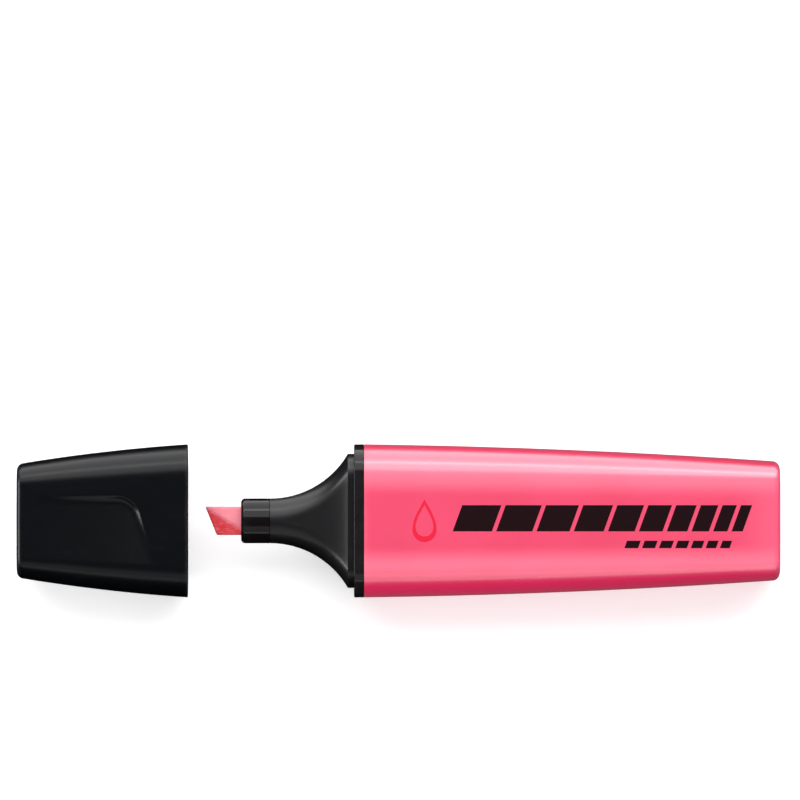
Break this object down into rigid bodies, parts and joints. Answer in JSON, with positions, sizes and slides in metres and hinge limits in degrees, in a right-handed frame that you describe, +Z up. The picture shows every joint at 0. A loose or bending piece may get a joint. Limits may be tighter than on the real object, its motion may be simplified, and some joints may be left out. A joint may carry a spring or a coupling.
{
  "type": "highlighter pen",
  "caption": "Flat highlighter pen with a tapered barrel, trumpet-shaped front section, slanted chisel nib, ink reservoir and a pull-off cap with thumb recesses.",
  "frame": {"origin": "centre of the whole's footprint, on the surface that the pen lies on, with the cap pulled off as at rest", "axes": "+X along the pen from the cap and nib to the barrel's closed end, +Y across its width towards the nib's long point, +Z up through its thickness"},
  "size_m": [0.1344, 0.027, 0.017],
  "materials": {
    "barrel_pink": "satin",
    "section_black": "satin",
    "sleeve_black": "gloss",
    "nib_felt": "matte",
    "reservoir_fibre": "matte",
    "reservoir_film": "gloss",
    "cap_black": "satin",
    "seal_black": "matte"
  },
  "bodies": {
    "pen": {"barrel": "barrel_pink", "front_section": "section_black", "nib_sleeve": "sleeve_black", "nib": "nib_felt", "reservoir_core": "reservoir_fibre", "reservoir_wrap": "reservoir_film"},
    "cap": {"cap_shell": "cap_black", "cap_seal": "seal_black"}
  },
  "joints": [
    {"name": "cap_slide", "type": "slide", "parent": "pen", "child": "cap", "axis": [1, 0, 0], "range_m": [0, 0.02925]}
  ]
}
